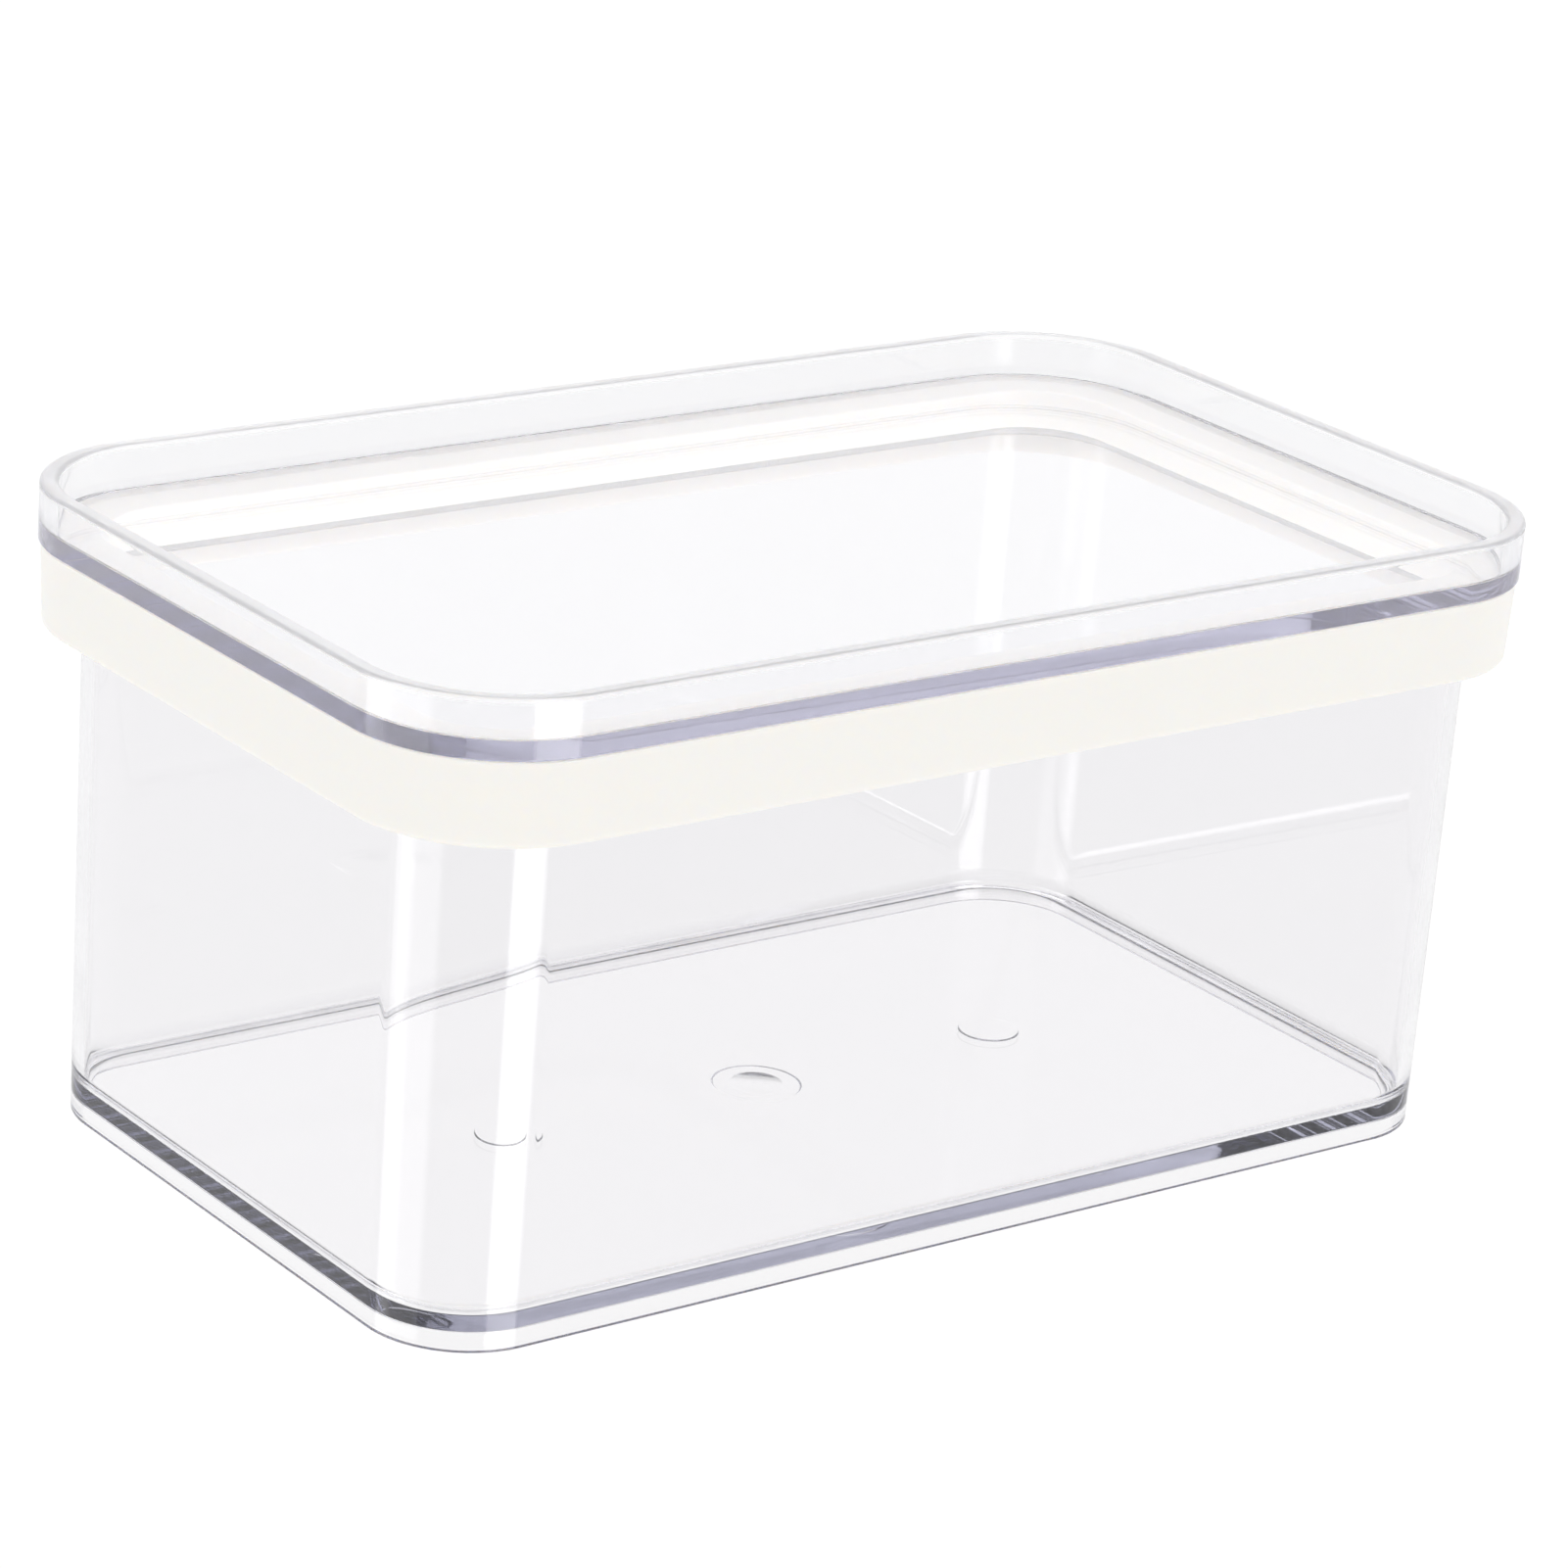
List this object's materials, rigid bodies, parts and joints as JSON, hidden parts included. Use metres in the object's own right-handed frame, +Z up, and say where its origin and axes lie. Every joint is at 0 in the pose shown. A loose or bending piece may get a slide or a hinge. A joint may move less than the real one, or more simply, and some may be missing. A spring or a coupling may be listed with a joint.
{
  "type": "lidded fridge bin",
  "caption": "Clear rounded rectangular storage bin with a press-on lid: recessed clear top, milky soft skirt and finned seal.",
  "frame": {"origin": "centre of the foot ring, on the surface that the bin stands on", "axes": "+X along the long side, +Y across the short side, +Z up through the lid"},
  "size_m": [0.248, 0.151, 0.1195],
  "materials": {
    "clear_tub": "crystal-clear polished styrene, faint violet-grey in its thick edges",
    "clear_panel": "crystal-clear polished styrene",
    "milky_skirt": "warm white translucent soft polyethylene, satin",
    "silicone_gasket": "translucent white silicone, matte"
  },
  "bodies": {
    "bin": {"tub": "clear_tub"},
    "lid": {"lid_panel": "clear_panel", "lid_skirt": "milky_skirt", "seal_gasket": "silicone_gasket"}
  },
  "joints": [
    {"name": "lid_lift", "type": "slide", "parent": "bin", "child": "lid", "axis": [0, 0, 1], "range_m": [0, 0.08]}
  ]
}
